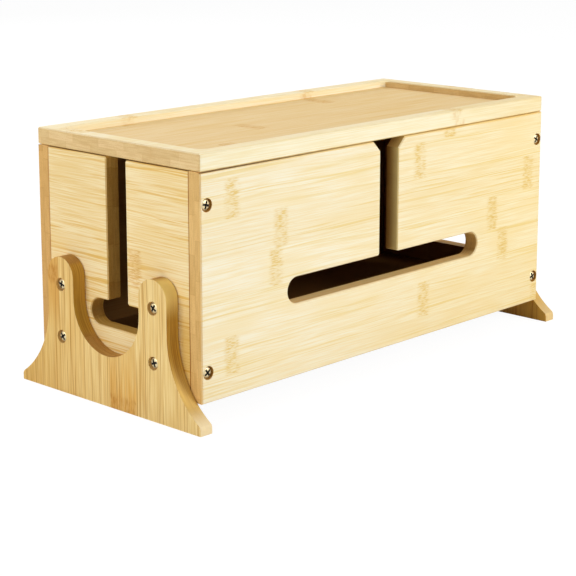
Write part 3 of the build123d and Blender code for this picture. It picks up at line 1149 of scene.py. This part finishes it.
def wind_thread(length):
    """A triangle wound down the core, with both its ends closed."""
    turns = int((length - POINT_LENGTH - THREAD_PITCH) / THREAD_PITCH)
    size = (THREAD_RADIUS - CORE_RADIUS) / 1.5 * SUNK_IN_CORE  # a triangle is 1.5 radii deep
    bpy.ops.mesh.primitive_circle_add(
        vertices=3,
        radius=size * MM,
        location=((THREAD_RADIUS - size) * MM, 0, (POINT_LENGTH - length) * MM),
        rotation=(math.radians(90), math.radians(90), 0),
    )
    ridge = bpy.context.object
    bpy.ops.object.transform_apply(location=True, rotation=True, scale=True)
    winding = ridge.modifiers.new("thread", "SCREW")
    winding.axis = "Z"
    winding.screw_offset = THREAD_PITCH * MM
    winding.iterations = turns
    winding.steps = winding.render_steps = THREAD_STEPS
    bpy.ops.object.modifier_apply(modifier=winding.name)
    edit()
    bpy.ops.mesh.select_all(action="SELECT")
    bpy.ops.mesh.fill_holes(sides=3)
    bpy.ops.mesh.normals_make_consistent(inside=False)
    bpy.ops.object.mode_set(mode="OBJECT")
    ridge.data.materials.append(steel.material)
    return ridge


print("thread", 2 * THREAD_RADIUS, "mm across, one turn every", THREAD_PITCH, "mm")

# %% [markdown]
# The head is raised ring by ring from a disc, and then the disc's own face is narrowed to the core, pulled
# down for the shank and drawn to a point. Recess and thread follow, and smooth shading is kept to the gentle
# angles, so that the rim of the recess stays crisp.

# %% Model one screw
HEAD_STEPS = [(4.2, 0.9), (4.05, 1.5), (3.6, 2.05), (2.8, 2.42), (1.6, HEAD_HEIGHT)]  # radius and height, mm
HEAD_SIDES = 32
POINT_SHARE = 0.12  # radius of the blunt point, as a share of the core's
GENTLE = math.radians(35)  # steepest angle between two faces that still look like one curve


def wood_screw(length):
    """A screw about the Z axis. The head stands on z = 0 and the shank points down."""
    radius, height = HEAD_STEPS[0][0], 0.0
    bpy.ops.mesh.primitive_circle_add(vertices=HEAD_SIDES, radius=radius * MM, fill_type="NGON")
    screw = bpy.context.object
    screw.data.materials.append(steel.material)
    edit()
    bpy.ops.mesh.select_all(action="SELECT")
    for next_radius, next_height in HEAD_STEPS:
        raise_ring((next_height - height) * MM, next_radius / radius, next_height * MM)
        radius, height = next_radius, next_height
    bpy.ops.mesh.select_all(action="SELECT")
    bpy.ops.mesh.normals_make_consistent(inside=False)
    pick_faces_below(screw)
    raise_ring(0.0, CORE_RADIUS / HEAD_STEPS[0][0], 0.0)
    raise_ring((POINT_LENGTH - length) * MM, 1.0, 0.0)
    raise_ring(-POINT_LENGTH * MM, POINT_SHARE, -length * MM)
    bpy.ops.object.mode_set(mode="OBJECT")
    cut_cross(screw)
    ridge = wind_thread(length)
    bpy.ops.object.select_all(action="DESELECT")
    ridge.select_set(True)
    screw.select_set(True)
    bpy.context.view_layer.objects.active = screw
    bpy.ops.object.join()
    bpy.ops.object.shade_smooth_by_angle(angle=GENTLE)
    bpy.ops.object.select_all(action="DESELECT")
    return screw


print("head", 2 * HEAD_STEPS[0][0], "mm across and", HEAD_HEIGHT, "mm high")

# %% [markdown]
# What repeats is modelled once for each length and copied, each copy with its own mesh. A copy could be
# turned with three angles typed in by hand. Here its direction outwards gives them. Each is turned a bit
# further about its own axis than the one before, because nobody stops a screwdriver at the same angle twice.

# %% Drive in one screw
TURN_STEP = 37.0  # degrees that each screw stops further round than the one before


def drive_in(pattern, node, seat, outward):
    """A copy of a screw, set down on its seat with its head outwards, and its place put in its mesh."""
    screw = pattern.copy()
    screw.data = pattern.data.copy()
    screw.name = "steel_" + node
    bpy.context.collection.objects.link(screw)
    turn = math.radians(TURN_STEP * int(node[-1]))
    upright = outward.to_track_quat("Z", "Y").to_matrix()
    screw.rotation_euler = (upright @ Matrix.Rotation(turn, 3, "Z")).to_euler()
    screw.location = seat
    screw.select_set(True)
    bpy.context.view_layer.objects.active = screw
    bpy.ops.object.transform_apply(location=True, rotation=True, scale=True)
    screw.select_set(False)
    return screw


print("the fourth screw of a group is turned by", 4 * TURN_STEP, "degrees")

# %% [markdown]
# Every screw of the frame gives its own place: the long way of its box is its axis, and outwards is away
# from the middle of the box. The new screw stands for the plain one of the frame and stays with the box when
# the lid is lifted.

# %% Drive in all the screws
screw_nodes = sorted(name for name in frame["nodes"] if "screw" in name)
patterns = {}
for node in screw_nodes:
    low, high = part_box(node)
    size = high - low
    axis = max(range(3), key=lambda i: size[i])
    outward = Vector((0, 0, 0))
    outward[axis] = math.copysign(1, low[axis] + high[axis])
    length = round(size[axis] / MM - HEAD_HEIGHT, 1)
    if length not in patterns:
        patterns[length] = wood_screw(length)
    seat = (low + high) / 2
    seat[axis] = (high[axis] if outward[axis] > 0 else low[axis]) - outward[axis] * HEAD_HEIGHT * MM
    screw = drive_in(patterns[length], node, seat, outward)
    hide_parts(node)
    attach(screw, "box")
for pattern in patterns.values():
    print("screw of", len(pattern.data.polygons), "faces")
    bpy.data.objects.remove(pattern)
print("screws driven in:", len(screw_nodes))

# %% [markdown]
# ## Studio
#
# The box stands on a pale floor in soft light. A white background could be had by flooding the scene with
# light, but then pale bamboo burns out. So the floor and the air glow white only for what the camera sees,
# straight, in a reflection or through glass, and for the light on the box they stay as dim as a real room.
# The floor keeps a share of a matt surface, which takes the box's shadow.

# %% Floor and world
FLOOR_GLOW = 1.08  # 1 is white, and a bit more makes up for the share that is matt
FLOOR_GLOW_SHARE = 0.88  # the rest is matt and takes the shadow
FLOOR_GREY = (0.85, 0.85, 0.85, 1)
FLOOR_SIZE = 30  # m
AMBIENT = 0.25  # strength of the air as a light, where the camera sees it at 1


def seen_white(wiring):
    """1 for what the camera sees, straight, mirrored or through glass, and 0 for light that is scattered."""
    rays = wiring.node("LightPath")
    seen = rays.other("Is Camera Ray").maths("MAXIMUM", rays.other("Is Glossy Ray"))
    return seen.maths("MAXIMUM", rays.other("Is Transmission Ray"))


floor_finish = Finish("studio_floor")
glow = floor_finish.node("Emission", {}, {"Color": WHITE, "Strength": FLOOR_GLOW})
matt = floor_finish.node("BsdfDiffuse", {}, {"Color": FLOOR_GREY})
share = seen_white(floor_finish) * FLOOR_GLOW_SHARE
mixed = floor_finish.node("MixShader", {}, {0: share, 1: matt, 2: glow})
floor_finish.plug(floor_finish.tree.nodes["Material Output"], {"Surface": mixed})

bpy.ops.mesh.primitive_plane_add(size=FLOOR_SIZE)
floor = bpy.context.object
floor.name = "studio_floor"
floor.data.materials.append(floor_finish.material)

world = bpy.data.worlds.new("studio_air")
bpy.context.scene.world = world
world.use_nodes = True
air = Wiring(world.node_tree)
background = world.node_tree.nodes["Background"]
air.plug(background, {"Color": WHITE, "Strength": between(AMBIENT, 1.0, seen_white(air))})
print("floor of", floor.dimensions.x, "m, air with", AMBIENT, "of full white for the light on the box")

# %% [markdown]
# Four square lamps stand round the box. The key lamp is the strongest and hangs in front, to the right, so
# the front is the brightest side and the end with its foot stands in half shade. The others fill the end,
# the back and the top. A picture of a sky could light the box too, but lamps can be aimed and dimmed one by
# one. Large ones close by give soft shadows, as softboxes in a product studio do.

# %% Lamps
SOFTBOXES = [  # name, place in m, side in m, power in W
    ("key_softbox", (1.25, -2.35, 1.12), 1.2, 51),
    ("side_softbox", (-1.88, 0.25, 0.9), 0.9, 18.5),
    ("back_softbox", (0.5, 2.4, 1.2), 1.2, 30),
    ("top_softbox", (0.2, 0.4, 1.9), 0.9, 4),
]


def softbox(name, place, size, power):
    """A square lamp that looks at the middle of the box."""
    bpy.ops.object.light_add(type="AREA", location=place)
    lamp = bpy.context.object
    lamp.name = name
    lamp.data.size = size
    lamp.data.energy = power
    aim = (cad_low + cad_high) / 2 - Vector(place)
    lamp.rotation_euler = aim.to_track_quat("-Z", "Y").to_euler()
    return lamp


lamps = [softbox(*settings) for settings in SOFTBOXES]
print("lamps:", {lamp.name: lamp.data.energy for lamp in lamps})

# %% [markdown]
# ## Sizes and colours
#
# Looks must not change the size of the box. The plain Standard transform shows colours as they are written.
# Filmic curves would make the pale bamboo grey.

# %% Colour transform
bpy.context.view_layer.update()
bpy.context.scene.view_settings.view_transform = "Standard"
bpy.ops.object.select_all(action="DESELECT")

# %% [markdown]
